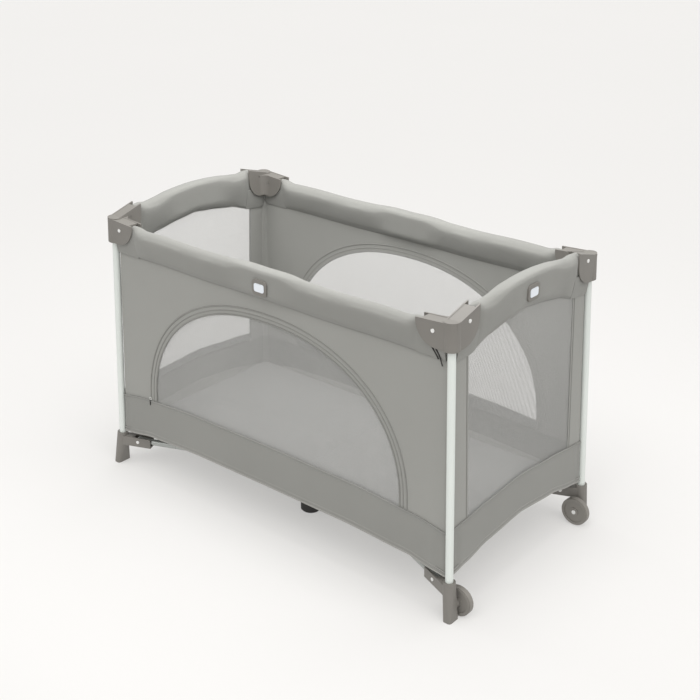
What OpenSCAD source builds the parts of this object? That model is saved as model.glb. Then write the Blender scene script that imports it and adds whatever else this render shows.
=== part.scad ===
// Folding travel cot with four leaning posts, padded top rails and a folding base.
// +Z is up. The origin is on the floor, midway between the posts.
// +X runs along the length to the end with wheels. The back side is +Y.

/* [Posts] */
// Distance between the posts along the length, at their lower ends
post_pitch_x = 1212; // [1100:2:1300]
// Distance between the posts across the width, at their lower ends
post_pitch_y = 618; // [580:2:680]
// How far each post leans in along the length, from its lower to its upper end
lean_x = 25; // [5:1:30]
// How far each post leans in across the width
lean_y = 11; // [5:1:20]
// Diameter of the post tubes
post_d = 20; // [20:0.5:24]
// Height of the lower end of each bare post
post_low = 104; // [104:1:108]
// Height of the upper end of each bare post
post_high = 712; // [700:1:712]

/* [Top rails] */
// Height of the pivots of the long rails
long_pin_z = 758; // [756:1:760]
// Height of the pivots of the end rails
end_pin_z = 779; // [777:1:781]
// Distance from each post to the rail pivots in its cap
cap_pin_in = 40; // [40:1:42]
// Half the distance between the two pins of a long rail's latch
long_latch_pin = 25; // [25:1:28]
// Half the distance between the two pins of an end rail's latch
end_latch_pin = 45; // [45:1:48]
// Diameter of the rail tubes
rail_d = 16; // [14:0.5:16]
// How far an end rail rises from its cap to its latch
end_rise = 18; // [10:1:20]
// Radius of the padded roll on the rails
roll_r = 20; // [18:0.5:20]

/* [Base] */
// Height of the base tubes
base_z = 88; // [88:1:90]
// Diameter of the base tubes
base_d = 19; // [16:0.5:19]
// Distance from each post to its base tube's pivot
base_pin_in = 55; // [55:1:58]
// Distance from the middle to each foot under the hub
hub_foot_y = 140; // [136:1:144]
// Radius of the wheels
wheel_r = 40; // [40:1:44]
// Width of the wheels
wheel_w = 18; // [16:1:22]

/* [Soft goods] */
// Thickness of the fabric walls and floor
cloth_t = 3; // [2:0.5:3]
// Height of the lower edge of the walls
wall_low = 130; // [130:1:140]
// Height of the upper edge of the long walls
long_wall_high = 684; // [640:1:684]
// Height of the upper edge of the end walls at the corners
end_wall_low_top = 672; // [640:1:676]
// Height of the upper edge of the end walls in the middle
end_wall_high_top = 718; // [690:1:720]
// Height of the top of the mat
mat_top = 157; // [145:1:160]

/* [Hidden] */

$fn = 48;
hull_fn = 32;
gap = 0.4;
fit = 0.05;

silver = [0.80, 0.81, 0.80];
plastic = [0.51, 0.49, 0.46];
white = [0.90, 0.91, 0.92];
dark = [0.17, 0.17, 0.17];
cloth = [0.58, 0.57, 0.54];
padding = [0.54, 0.54, 0.51];

post_r = post_d / 2;
post_rise = post_high - post_low;
post_tilt = atan(norm([lean_x, lean_y]) / post_rise);
post_turn = atan2(lean_y, lean_x);

cap_mid_z = 750;
cap_top = 786;
cap_low = 715;
cap_r = 19;
cap_x = post_x(cap_mid_z);
cap_y = post_y(cap_mid_z);

pin_r = 4;
rivet_r = 4.8;
pin_x = cap_x - cap_pin_in;
pin_y = cap_y - cap_pin_in;
half_x = pin_x - long_latch_pin;
half_y = pin_y - end_latch_pin;

// The base tubes have the plan length and direction of the half rails, so the fold closes exactly.
base_len = norm([half_x, half_y]);
base_turn = atan2(half_y, half_x);
base_x = post_pitch_x / 2 - base_pin_in * cos(base_turn);
base_y = post_pitch_y / 2 - base_pin_in * sin(base_turn);
hub_x = base_x - half_x;
hub_y = base_y - half_y;
base_r = base_d / 2;

rail_r = rail_d / 2;
eye_r = 11;
eye_w = 26;
pad_start = 58;
pad_stop = 14;

wheel_x = post_pitch_x / 2 + 7;
wheel_y = post_pitch_y / 2 - 33;
wheel_z = wheel_r + 1;

// Centre of the post at height z, in the back right quarter.
function post_x(z) = post_pitch_x / 2 - (z - post_low) * lean_x / post_rise;
function post_y(z) = post_pitch_y / 2 - (z - post_low) * lean_y / post_rise;

function arc(centre, r, from, to, steps = 8) = [
    for (i = [0 : steps])
        centre + r * [cos(from + (to - from) * i / steps), sin(from + (to - from) * i / steps)]
];

// Shapes are drawn in the back right quarter and mirrored into the others.
module quarter(right = true, back = true) {
    if (right && back) children();
    if (!right && back) mirror([1, 0, 0]) children();
    if (right && !back) mirror([0, 1, 0]) children();
    if (!right && !back) mirror([0, 1, 0]) mirror([1, 0, 0]) children();
}

// A round bar on the post's axis between two heights.
module on_post(z0, z1, r) {
    translate([post_x(z0), post_y(z0), z0])
        rotate([0, -post_tilt, post_turn])
            cylinder(h = (z1 - z0) / cos(post_tilt), r = r);
}

// A round bar along X or along Y, centred on the point at.
module bar_x(at, length, r) {
    translate(at) rotate([0, 90, 0]) cylinder(h = length, r = r, center = true);
}

module bar_y(at, length, r) {
    translate(at) rotate([90, 0, 0]) cylinder(h = length, r = r, center = true);
}

module rounded_box(size, r) {
    linear_extrude(size[2])
        union() {
            square([size[0] - 2 * r, size[1]], center = true);
            square([size[0], size[1] - 2 * r], center = true);
            for (sx = [-1, 1], sy = [-1, 1])
                translate([sx * (size[0] / 2 - r), sy * (size[1] / 2 - r)]) circle(r);
        }
}

/* Posts, caps, feet and rivets */

module post() {
    color(silver) on_post(post_low - 36, cap_top - 16, post_r);
}

// A cap plate seen from its side: u runs from the post's centre along the rail.
module plate_outline(reach, end_z, bend) {
    polygon(concat(
        [[-6, cap_low + 1], [-6, cap_top - 1], [0, cap_top - 1], [reach, end_z]],
        arc([reach - bend, cap_low + 1 + bend], bend, 0, -90)
    ));
}

// The roof sits a little below the plates' edges and stops short of their tips.
module roof_outline(reach, end_z, roof_t) {
    stop = reach - 14;
    low_top = cap_top - 1.8;
    stop_z = low_top + (end_z - cap_top + 1) * stop / reach;
    polygon([[0, low_top], [stop, stop_z], [stop, stop_z - roof_t], [0, low_top - roof_t]]);
}

// The rounded web that joins the inner plates of both arms.
module cap_web() {
    turn_r = 22;
    inside = -cap_r - turn_r;
    into = 1 - cap_r;
    translate([cap_x, cap_y, cap_low + 6])
        linear_extrude(cap_top - cap_low - 9)
            polygon(concat([[inside, into], [into, into], [into, inside]], arc([inside, inside], turn_r, 0, 90, 6)));
}

// Both plates and the roof of one cap arm, drawn along -X at y = 0.
module cap_arm(reach, end_z) {
    inner = 15;
    outer = cap_r;
    roof_t = 5;
    for (side = [-outer, inner])
        translate([0, side + (outer - inner), 0])
            rotate([90, 0, 0])
                linear_extrude(outer - inner)
                    mirror([1, 0]) plate_outline(reach, end_z, 60);
    translate([0, inner + 1, 0])
        rotate([90, 0, 0])
            linear_extrude(2 * inner + 2)
                mirror([1, 0]) roof_outline(reach, end_z, roof_t);
}

module cap() {
    long_reach = 91;
    long_end_z = 779;
    end_reach = 81;
    end_end_z = 808;
    color(plastic)
        difference() {
            union() {
                on_post(cap_low, cap_top, cap_r + 1.5);
                translate([cap_x, cap_y, 0]) cap_arm(long_reach, long_end_z);
                translate([cap_x, cap_y, 0]) rotate([0, 0, 90]) cap_arm(end_reach, end_end_z);
                cap_web();
            }
            on_post(cap_low - 10, cap_top - 15, post_r + fit);
            bar_y([pin_x, cap_y, long_pin_z], 3 * cap_r, pin_r + fit);
            bar_x([cap_x, pin_y, end_pin_z], 3 * cap_r, pin_r + fit);
        }
}

// The bracket arm that holds a base tube, drawn along +X towards the hub, with its pin at the origin.
module bracket_arm() {
    width = 29;
    slot_w = 21;
    low = -16;
    high = 13;
    difference() {
        translate([-base_pin_in, -width / 2, low]) cube([base_pin_in + 40, width, high - low]);
        translate([-eye_r - 2, -slot_w / 2, low + 3.5]) cube([60, slot_w, high - low]);
        bar_y([0, 0, 0], 2 * width, pin_r + fit);
    }
}

module at_base_pin() {
    translate([base_x, base_y, base_z]) rotate([0, 0, base_turn + 180]) children();
}

// A corner foot. The blade ends in a pad of the given size on the floor.
module foot(pad_at, pad_size, wheeled) {
    collar_r = post_r + 6;
    collar_low = 70;
    color(plastic)
        difference() {
            union() {
                hull() {
                    on_post(collar_low, post_low + 6, collar_r, $fn = hull_fn);
                    translate([pad_at[0], pad_at[1], 0]) rounded_box([pad_size[0], pad_size[1], 4], 7);
                }
                at_base_pin() bracket_arm();
                if (wheeled) bar_y([wheel_x, wheel_y + wheel_w / 2 + 7, wheel_z], 11, 11);
            }
            on_post(post_low - 37, post_low + 30, post_r + fit);
            if (wheeled) bar_y([wheel_x, wheel_y + 12, wheel_z], 42, pin_r + fit);
        }
}

module plain_foot() {
    foot([post_pitch_x / 2 + 25, post_pitch_y / 2 - 10], [22, 46], false);
}

module wheel_foot() {
    foot([wheel_x, post_pitch_y / 2 - 1], [24, 38], true);
}

module rivet_heads_y(at, reach) {
    for (side = [-1, 1]) bar_y(at + [0, side * (reach + 1), 0], 2, rivet_r);
}

// The pins of one corner: two in the cap, one in the bracket and the axle of a wheel.
module rivets(wheeled) {
    half_arm = 14.5;
    color(white) {
        bar_y([pin_x, cap_y + 0.5, long_pin_z], 2 * cap_r - 1, pin_r);
        bar_y([pin_x, cap_y + cap_r + 1, long_pin_z], 2, rivet_r);
        bar_x([cap_x + 0.5, pin_y, end_pin_z], 2 * cap_r - 1, pin_r);
        bar_x([cap_x + cap_r + 1, pin_y, end_pin_z], 2, rivet_r);
        at_base_pin() {
            bar_y([0, 0, 0], 2 * half_arm, pin_r);
            rivet_heads_y([0, 0, 0], half_arm);
        }
        if (wheeled) {
            bar_y([wheel_x, wheel_y + 9, wheel_z], wheel_w + 23, pin_r);
            bar_y([wheel_x, wheel_y - wheel_w / 2 - 1.5, wheel_z], 2, rivet_r + 1);
        }
    }
}

module wheel() {
    tread = 4;
    color(plastic)
        difference() {
            union() {
                bar_y([wheel_x, wheel_y, wheel_z], wheel_w, wheel_r - tread / 2);
                bar_y([wheel_x, wheel_y, wheel_z], wheel_w - tread, wheel_r);
            }
            for (side = [-1, 1])
                translate([wheel_x, wheel_y + side * wheel_w / 2, wheel_z])
                    rotate([90, 0, 0])
                        difference() {
                            cylinder(h = 5, r = wheel_r - 9, center = true);
                            cylinder(h = 6, r = 12, center = true);
                        }
            bar_y([wheel_x, wheel_y, wheel_z], 2 * wheel_w, pin_r + fit);
        }
}

/* Top rails, padded rolls, latches and buttons */

// Half of a long rail, from its cap pin to its latch pin.
module long_half_rail() {
    color(silver)
        difference() {
            union() {
                translate([long_latch_pin, cap_y, long_pin_z])
                    rotate([0, 90, 0]) cylinder(h = half_x, r = rail_r);
                for (x = [long_latch_pin, pin_x]) bar_y([x, cap_y, long_pin_z], eye_w, eye_r);
            }
            for (x = [long_latch_pin, pin_x]) bar_y([x, cap_y, long_pin_z], 60, pin_r + fit);
        }
}

// Half of an end rail. Its tube rises towards the latch, where a lug reaches down to the pin.
module end_half_rail() {
    top = [cap_x, end_latch_pin + 6, end_pin_z + end_rise];
    run = pin_y - top[1];
    lug_w = 14;
    color(silver)
        difference() {
            union() {
                translate(top)
                    rotate([90 + atan(end_rise / run), 0, 180]) cylinder(h = norm([run, end_rise]), r = rail_r);
                bar_x([cap_x, pin_y, end_pin_z], eye_w, eye_r);
                bar_x([cap_x, end_latch_pin, end_pin_z], lug_w, eye_r);
                bar_x(top, lug_w, rail_r + 1);
                translate([cap_x - lug_w / 2, 0, 0])
                    rotate([90, 0, 90])
                        linear_extrude(lug_w)
                            polygon([
                                [end_latch_pin - 7, end_pin_z + 6], [end_latch_pin + 9, end_pin_z - 3],
                                [end_latch_pin + 14, end_pin_z + end_rise - 3],
                                [end_latch_pin, end_pin_z + end_rise + 4]
                            ]);
            }
            for (y = [end_latch_pin, pin_y]) bar_x([cap_x, y, end_pin_z], 60, pin_r + fit);
        }
}

// A padded roll over a half rail: a round top, and a flat skirt that hangs to a seam.
module roll(near, far, seam_near, seam_far) {
    seam_r = 5;
    hull() {
        translate(near) sphere_disc(roll_r);
        translate(far) sphere_disc(roll_r);
        translate([near[0], near[1], seam_near + seam_r]) sphere_disc(seam_r);
        translate([far[0], far[1], seam_far + seam_r]) sphere_disc(seam_r);
    }
}

// A thin disc across the X axis.
module sphere_disc(r) {
    rotate([0, 90, 0]) cylinder(h = 0.1, r = r, center = true, $fn = hull_fn);
}

module long_pad() {
    roll_z = 750;
    seam_z = 686;
    color(padding)
        difference() {
            roll([long_latch_pin + pad_stop, cap_y, roll_z], [pin_x - pad_start, cap_y, roll_z], seam_z, seam_z);
            bar_x([pin_x / 2, cap_y, long_pin_z], 2 * post_pitch_x, rail_r + gap);
        }
}

module end_pad() {
    near_z = 797;
    far_z = 776;
    seam_near = 724;
    seam_far = 694;
    bore_r = rail_r + gap;
    run = pin_y - end_latch_pin - 6;
    color(padding)
        difference() {
            translate([cap_x, 0, 0])
                rotate([0, 0, 90])
                    roll([end_latch_pin + pad_stop, 0, near_z], [pin_y - pad_start, 0, far_z], seam_near, seam_far);
            translate([cap_x, end_latch_pin + 6, end_pin_z + end_rise])
                rotate([90 + atan(end_rise / run), 0, 180])
                    translate([0, 0, -60]) cylinder(h = 400, r = bore_r);
        }
}

// A latch drawn along X about the middle of its pins, open above, with its button on the +Y face.
module latch(pin, low, high, button_z) {
    inner = 14;
    outer = 18;
    half = pin + 11;
    plate_t = outer - inner;
    difference() {
        union() {
            for (y = [-outer, inner])
                translate([-half, y, low]) cube([2 * half, plate_t, high - low]);
            translate([-half, -outer, low]) cube([2 * half, 2 * outer, plate_t]);
            for (x = [-pin, pin]) bar_y([x, 0, 0], 2 * outer - 1, pin_r);
            translate([0, outer - 0.5, button_z])
                rotate([-90, 0, 0]) rounded_box([50, 42, 7.5], 11);
        }
        translate([0, inner + 1, button_z]) rotate([-90, 0, 0]) rounded_box([34.6, 22.6, 20], 6.3);
    }
}

module button() {
    color(white) rotate([-90, 0, 0]) rounded_box([34, 22, 6.5], 6);
}

long_button_z = -32;
end_button_z = -6;

module long_latch() {
    color(plastic) translate([0, cap_y, long_pin_z]) latch(long_latch_pin, -56, 5, long_button_z);
}

module end_latch() {
    color(plastic)
        translate([cap_x, 0, end_pin_z]) rotate([0, 0, -90]) latch(end_latch_pin, -30, 13, end_button_z);
}

module long_button() {
    translate([0, cap_y + 19.5, long_pin_z + long_button_z]) button();
}

module end_button() {
    translate([cap_x + 19.5, 0, end_pin_z + end_button_z]) rotate([0, 0, -90]) button();
}

/* Base */

module base_tube() {
    end_w = 18;
    color(silver)
        translate([hub_x, hub_y, base_z])
            rotate([0, 0, base_turn])
                difference() {
                    union() {
                        rotate([0, 90, 0]) cylinder(h = base_len, r = base_r);
                        for (x = [0, base_len]) bar_y([x, 0, 0], end_w, base_r + 0.5);
                    }
                    for (x = [0, base_len]) bar_y([x, 0, 0], 40, pin_r + fit);
                }
}

// Two cheeks, a roof and a pin, drawn with the pin at the origin and the tube along +X.
module hub_clevis() {
    inner = 9.6;
    outer = 14;
    for (side = [-1, 1])
        translate([-30, side * (inner + outer) / 2 - (outer - inner) / 2, -12])
            cube([42, outer - inner, 28]);
    translate([-30, -outer, 12]) cube([42, 2 * outer, 4]);
    bar_y([0, 0, 0], 2 * outer - 1, pin_r);
}

module hub() {
    core = [52, 134];
    top = 122;
    bar_w = 24;
    leg_r = 13;
    color(plastic)
        union() {
            difference() {
                translate([0, 0, base_z - 14]) rounded_box([core[0], core[1], top - base_z + 14], 12);
                for (right = [false, true], back = [false, true])
                    quarter(right, back)
                        translate([hub_x, hub_y, base_z - 20])
                            rotate([0, 0, base_turn]) translate([-14, -9.6, 0]) cube([30, 19.2, 32]);
            }
            for (right = [false, true], back = [false, true])
                quarter(right, back)
                    translate([hub_x, hub_y, base_z]) rotate([0, 0, base_turn]) hub_clevis();
            translate([0, 0, base_z - 6]) rounded_box([bar_w, 2 * hub_foot_y, 20], 6);
            for (side = [-1, 1])
                translate([0, side * hub_foot_y, 22]) cylinder(h = base_z - 22 + 14, r = leg_r);
        }
}

module hub_feet() {
    leg_r = 13;
    color(dark)
        for (side = [-1, 1])
            translate([0, side * hub_foot_y, 0])
                difference() {
                    rotate_extrude()
                        polygon([[0, 0], [25, 0], [29, 4], [29, 26], [22, 42], [0, 42]]);
                    translate([0, 0, 21.5]) cylinder(h = 40, r = leg_r + fit);
                }
}

/* Soft goods */

// One quarter of the mat. It lies on the floor sheet and meets its neighbours along the middle lines.
module mat_quarter() {
    seam = 0.5;
    low = 125.6;
    edge = 5;
    reach = [post_x(mat_top) - post_r - 9, post_y(mat_top) - post_r - 9];
    color(cloth)
        hull() {
            for (z = [[0, edge], [edge, 0], [mat_top - low - edge, 0], [mat_top - low, edge]])
                translate([seam + z[1], seam + z[1], low + z[0] - (z[0] > edge ? 0.1 : 0)])
                    linear_extrude(0.1)
                        square([reach[0] - seam - 2 * z[1], reach[1] - seam - 2 * z[1]]);
        }
}

module floor_sheet() {
    low = 122.4;
    reach = [post_x(low) - post_r - cloth_t - 1, post_y(low) - post_r - cloth_t - 1];
    color(cloth) translate([-reach[0], -reach[1], low]) cube([2 * reach[0], 2 * reach[1], cloth_t - 0.2]);
}

// A flat sheet that leans with the posts. half(z) is half its width at height z.
module long_wall() {
    lean = atan(lean_y / post_rise);
    set_in = post_r + gap;
    low_x = post_x(wall_low) - set_in - cloth_t - gap;
    high_x = post_x(long_wall_high) - set_in - cloth_t - gap;
    color(cloth)
        translate([0, post_y(wall_low) - set_in, wall_low])
            rotate([90 + lean, 0, 0])
                linear_extrude(cloth_t)
                    polygon([
                        [-low_x, 0], [low_x, 0],
                        [high_x, (long_wall_high - wall_low) / cos(lean)],
                        [-high_x, (long_wall_high - wall_low) / cos(lean)]
                    ]);
}

module end_wall() {
    lean = atan(lean_x / post_rise);
    set_in = post_r + gap;
    low_y = post_y(wall_low) - set_in;
    high_y = post_y(end_wall_low_top) - set_in;
    corner = (end_wall_low_top - wall_low) / cos(lean);
    crown = (end_wall_high_top - end_wall_low_top) / cos(lean);
    bow = [for (i = [0 : 8]) [high_y * (1 - i / 4), corner + crown * (1 - pow(1 - i / 4, 2))]];
    color(cloth)
        translate([post_x(wall_low) - set_in - cloth_t, 0, wall_low])
            rotate([90, 0, 90]) rotate([-lean, 0, 0])
                linear_extrude(cloth_t)
                    polygon(concat([[-low_y, 0], [low_y, 0]], bow));
}

/* Nodes */

quarter(true, false) post();  // post_front_right
quarter(false, false) post();  // post_front_left
quarter(true, true) post();  // post_back_right
quarter(false, true) post();  // post_back_left
quarter(true, false) cap();  // cap_front_right
quarter(false, false) cap();  // cap_front_left
quarter(true, true) cap();  // cap_back_right
quarter(false, true) cap();  // cap_back_left
quarter(true, false) wheel_foot();  // foot_front_right
quarter(false, false) plain_foot();  // foot_front_left
quarter(true, true) wheel_foot();  // foot_back_right
quarter(false, true) plain_foot();  // foot_back_left
quarter(true, false) rivets(true);  // rivets_front_right
quarter(false, false) rivets(false);  // rivets_front_left
quarter(true, true) rivets(true);  // rivets_back_right
quarter(false, true) rivets(false);  // rivets_back_left
quarter(true, false) wheel();  // wheel_front
quarter(true, true) wheel();  // wheel_back
quarter(true, false) long_half_rail();  // rail_front_right
quarter(false, false) long_half_rail();  // rail_front_left
quarter(true, true) long_half_rail();  // rail_back_right
quarter(false, true) long_half_rail();  // rail_back_left
quarter(true, false) end_half_rail();  // rail_right_front
quarter(true, true) end_half_rail();  // rail_right_back
quarter(false, false) end_half_rail();  // rail_left_front
quarter(false, true) end_half_rail();  // rail_left_back
quarter(true, false) long_pad();  // pad_front_right
quarter(false, false) long_pad();  // pad_front_left
quarter(true, true) long_pad();  // pad_back_right
quarter(false, true) long_pad();  // pad_back_left
quarter(true, false) end_pad();  // pad_right_front
quarter(true, true) end_pad();  // pad_right_back
quarter(false, false) end_pad();  // pad_left_front
quarter(false, true) end_pad();  // pad_left_back
quarter(true, false) long_latch();  // latch_front
quarter(true, true) long_latch();  // latch_back
quarter(true, true) end_latch();  // latch_right
quarter(false, true) end_latch();  // latch_left
quarter(true, false) long_button();  // button_front
quarter(true, true) long_button();  // button_back
quarter(true, true) end_button();  // button_right
quarter(false, true) end_button();  // button_left
quarter(true, false) base_tube();  // base_tube_front_right
quarter(false, false) base_tube();  // base_tube_front_left
quarter(true, true) base_tube();  // base_tube_back_right
quarter(false, true) base_tube();  // base_tube_back_left
hub();
hub_feet();
quarter(true, false) mat_quarter();  // mat_front_right
quarter(false, false) mat_quarter();  // mat_front_left
quarter(true, true) mat_quarter();  // mat_back_right
quarter(false, true) mat_quarter();  // mat_back_left
floor_sheet();
quarter(true, false) long_wall();  // wall_front
quarter(true, true) long_wall();  // wall_back
quarter(true, true) end_wall();  // wall_right
quarter(false, true) end_wall();  // wall_left
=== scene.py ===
import math

import bmesh
import bpy
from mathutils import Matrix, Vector, noise


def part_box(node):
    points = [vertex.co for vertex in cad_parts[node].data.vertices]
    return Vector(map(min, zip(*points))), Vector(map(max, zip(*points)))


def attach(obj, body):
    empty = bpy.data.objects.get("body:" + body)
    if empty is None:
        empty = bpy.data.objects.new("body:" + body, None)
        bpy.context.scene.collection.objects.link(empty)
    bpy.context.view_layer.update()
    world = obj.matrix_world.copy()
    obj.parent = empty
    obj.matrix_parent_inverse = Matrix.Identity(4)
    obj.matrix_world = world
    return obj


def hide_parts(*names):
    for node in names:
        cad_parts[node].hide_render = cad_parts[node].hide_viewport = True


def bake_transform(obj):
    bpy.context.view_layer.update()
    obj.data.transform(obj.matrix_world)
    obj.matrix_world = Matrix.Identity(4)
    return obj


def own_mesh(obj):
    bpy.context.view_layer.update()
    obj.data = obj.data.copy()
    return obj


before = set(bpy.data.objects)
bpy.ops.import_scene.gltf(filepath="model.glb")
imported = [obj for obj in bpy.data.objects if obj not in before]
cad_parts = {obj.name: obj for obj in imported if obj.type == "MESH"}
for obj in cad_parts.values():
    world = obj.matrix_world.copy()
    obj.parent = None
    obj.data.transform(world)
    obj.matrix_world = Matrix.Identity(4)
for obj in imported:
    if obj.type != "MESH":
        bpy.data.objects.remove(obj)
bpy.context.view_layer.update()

SIDES = [("right", 1), ("left", -1)]
DEPTHS = [("back", 1), ("front", -1)]

# ---------------------------------------------------------------- places taken from the CAD model

POST_R = 0.010
post_lo, post_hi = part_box("post_back_right")
rail_lo, rail_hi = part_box("rail_back_right")
end_rail_lo, end_rail_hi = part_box("rail_right_back")
EYE_R = 0.011
LONG_Y = (rail_lo.y + rail_hi.y) / 2
LONG_PIN = Vector((rail_hi.x - EYE_R, LONG_Y, (rail_lo.z + rail_hi.z) / 2))
END_X = (end_rail_lo.x + end_rail_hi.x) / 2
END_PIN = Vector((END_X, end_rail_hi.y - EYE_R, end_rail_lo.z + EYE_R))
mat_lo, mat_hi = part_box("mat_back_right")
floor_lo, floor_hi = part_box("floor_sheet")


def post_at(z):
    """Centre of the back right post at height z."""
    t = (z - post_lo.z) / (post_hi.z - post_lo.z)
    x = post_hi.x - POST_R + t * (post_lo.x - post_hi.x + 2 * POST_R)
    y = post_hi.y - POST_R + t * (post_lo.y - post_hi.y + 2 * POST_R)
    return x, y


def smooth(t):
    t = min(max(t, 0.0), 1.0)
    return t * t * (3 - 2 * t)


def ramp(value, low, high):
    return smooth((value - low) / (high - low))


def curve_through(points, s):
    """Height on a smooth curve through a few (place, height) points."""
    if s <= points[0][0]:
        return points[0][1]
    for (s0, h0), (s1, h1) in zip(points, points[1:]):
        if s <= s1:
            return h0 + (h1 - h0) * (0.5 * smooth((s - s0) / (s1 - s0)) + 0.5 * (s - s0) / (s1 - s0))
    return points[-1][1]


# ---------------------------------------------------------------- materials

def srgb(r, g, b):
    out = []
    for c in (r / 255, g / 255, b / 255):
        out.append(c / 12.92 if c <= 0.04045 else ((c + 0.055) / 1.055) ** 2.4)
    return (out[0], out[1], out[2], 1.0)


def scaled(color, by):
    return (min(color[0] * by, 1), min(color[1] * by, 1), min(color[2] * by, 1), 1.0)


class Nodes:
    """A small helper that adds shader nodes to one material."""

    def __init__(self, name):
        self.material = bpy.data.materials.new(name)
        self.material.use_nodes = True
        self.tree = self.material.node_tree
        self.shader = self.tree.nodes["Principled BSDF"]
        self.coords = self.tree.nodes.new("ShaderNodeTexCoord").outputs["Object"]

    def link(self, source, target):
        self.tree.links.new(source, target)

    def value(self, target, given):
        if isinstance(given, (int, float)):
            target.default_value = given
        else:
            self.link(given, target)

    def math(self, operation, a, b=None, c=None, clamp=False):
        node = self.tree.nodes.new("ShaderNodeMath")
        node.operation = operation
        node.use_clamp = clamp
        for socket, given in zip(node.inputs, (a, b, c)):
            if given is not None:
                self.value(socket, given)
        return node.outputs[0]

    def axes(self):
        node = self.tree.nodes.new("ShaderNodeSeparateXYZ")
        self.link(self.coords, node.inputs[0])
        return node.outputs

    def noise(self, scale, detail=2.0, stretch=None):
        node = self.tree.nodes.new("ShaderNodeTexNoise")
        node.inputs["Scale"].default_value = scale
        node.inputs["Detail"].default_value = detail
        source = self.coords
        if stretch:
            mapping = self.tree.nodes.new("ShaderNodeMapping")
            mapping.inputs["Scale"].default_value = stretch
            self.link(self.coords, mapping.inputs["Vector"])
            source = mapping.outputs[0]
        self.link(source, node.inputs["Vector"])
        return node.outputs[0]

    def range(self, source, low, high, to_low, to_high):
        node = self.tree.nodes.new("ShaderNodeMapRange")
        self.link(source, node.inputs["Value"])
        ends = {"From Min": low, "From Max": high, "To Min": to_low, "To Max": to_high}
        for name, given in ends.items():
            node.inputs[name].default_value = given
        return node.outputs[0]

    def mix(self, factor, a, b):
        node = self.tree.nodes.new("ShaderNodeMix")
        node.data_type = "RGBA"
        self.value(node.inputs["Factor"], factor)
        node.inputs["A"].default_value = a
        node.inputs["B"].default_value = b
        return node.outputs["Result"]

    def bump(self, height, strength, distance):
        node = self.tree.nodes.new("ShaderNodeBump")
        node.inputs["Strength"].default_value = strength
        node.inputs["Distance"].default_value = distance
        self.link(height, node.inputs["Height"])
        self.link(node.outputs[0], self.shader.inputs["Normal"])

    def set(self, **values):
        for name, given in values.items():
            self.value(self.shader.inputs[name.replace("_", " ")], given)


def plastic(name, color, roughness, grain=0.00006, wear=0.06):
    n = Nodes(name)
    broad = n.noise(9.0)
    fine = n.noise(1400.0, 3.0)
    tone = n.range(broad, 0.3, 0.7, 0.0, 1.0)
    n.link(n.mix(tone, scaled(color, 1 - wear), scaled(color, 1 + wear)), n.shader.inputs["Base Color"])
    n.link(n.range(fine, 0.3, 0.7, roughness - 0.06, roughness + 0.08), n.shader.inputs["Roughness"])
    n.bump(fine, 0.5, grain)
    return n.material


def painted_metal(name, color, roughness, metallic):
    n = Nodes(name)
    streaks = n.noise(60.0, 3.0, (1.0, 1.0, 0.03))
    fine = n.noise(1800.0, 2.0)
    n.link(n.mix(n.range(streaks, 0.3, 0.7, 0, 1), scaled(color, 0.97), scaled(color, 1.03)),
           n.shader.inputs["Base Color"])
    n.link(n.range(streaks, 0.3, 0.7, roughness - 0.05, roughness + 0.07), n.shader.inputs["Roughness"])
    n.set(Metallic=metallic)
    n.bump(fine, 0.35, 0.00003)
    return n.material


def cloth(name, color, flat_weave=False, thread=0.0013, depth=0.00025, mottle=0.05, sheen=0.15, ribs=0.0):
    """Woven cloth. The threads run along the wall and up it, or along X and Y on a flat piece."""
    n = Nodes(name)
    x, y, z = n.axes()
    along = x if flat_weave else n.math("ADD", x, y)
    across = y if flat_weave else z
    turn = 2 * math.pi / thread
    warp = n.math("SINE", n.math("MULTIPLY", along, turn))
    weft = n.math("SINE", n.math("MULTIPLY", across, turn))
    weave = n.math("MULTIPLY", warp, weft)
    broad = n.noise(5.0, 3.0)
    slub = n.noise(260.0, 2.0)
    if ribs:
        rib = n.math("SINE", n.math("MULTIPLY", across, 2 * math.pi / ribs))
        weave = n.math("ADD", weave, n.math("MULTIPLY", rib, 1.6))
    height = n.math("ADD", n.math("MULTIPLY", weave, 0.5), n.math("MULTIPLY", slub, 0.9))
    mottling = n.range(broad, 0.3, 0.7, 0.0, 0.55)
    weave = n.range(height, -0.4, 1.4, 0.0, 0.45)
    tone = n.math("ADD", mottling, weave, clamp=True)
    tint = n.mix(tone, scaled(color, 1 - mottle), scaled(color, 1 + mottle))
    n.link(tint, n.shader.inputs["Base Color"])
    n.link(n.range(slub, 0.3, 0.7, 0.78, 0.95), n.shader.inputs["Roughness"])
    n.shader.inputs["Specular IOR Level"].default_value = 0.25
    n.shader.inputs["Sheen Weight"].default_value = sheen
    n.shader.inputs["Sheen Roughness"].default_value = 0.5
    n.bump(height, 0.6, depth)
    return n.material


def net(name, color, pitch=0.0032, hole=-0.2, soft=0.4):
    """A knitted net: thread all round small round holes, in staggered rows."""
    n = Nodes(name)
    x, y, z = n.axes()
    along = n.math("ADD", x, y)
    turn = 2 * math.pi / pitch
    a = n.math("COSINE", n.math("MULTIPLY", along, turn))
    b = n.math("COSINE", n.math("MULTIPLY", z, turn * 0.8))
    cells = n.math("MULTIPLY", a, b)
    thread = n.range(cells, hole - soft, hole + soft, 1.0, 0.0)
    broad = n.noise(7.0, 2.0)
    n.link(n.mix(broad, scaled(color, 0.95), scaled(color, 1.05)), n.shader.inputs["Base Color"])
    n.link(n.range(thread, 0.0, 1.0, 0.12, 0.70), n.shader.inputs["Alpha"])
    n.link(n.range(broad, 0.3, 0.7, 0.75, 0.9), n.shader.inputs["Roughness"])
    n.bump(thread, 0.4, 0.0002)
    return n.material


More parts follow.
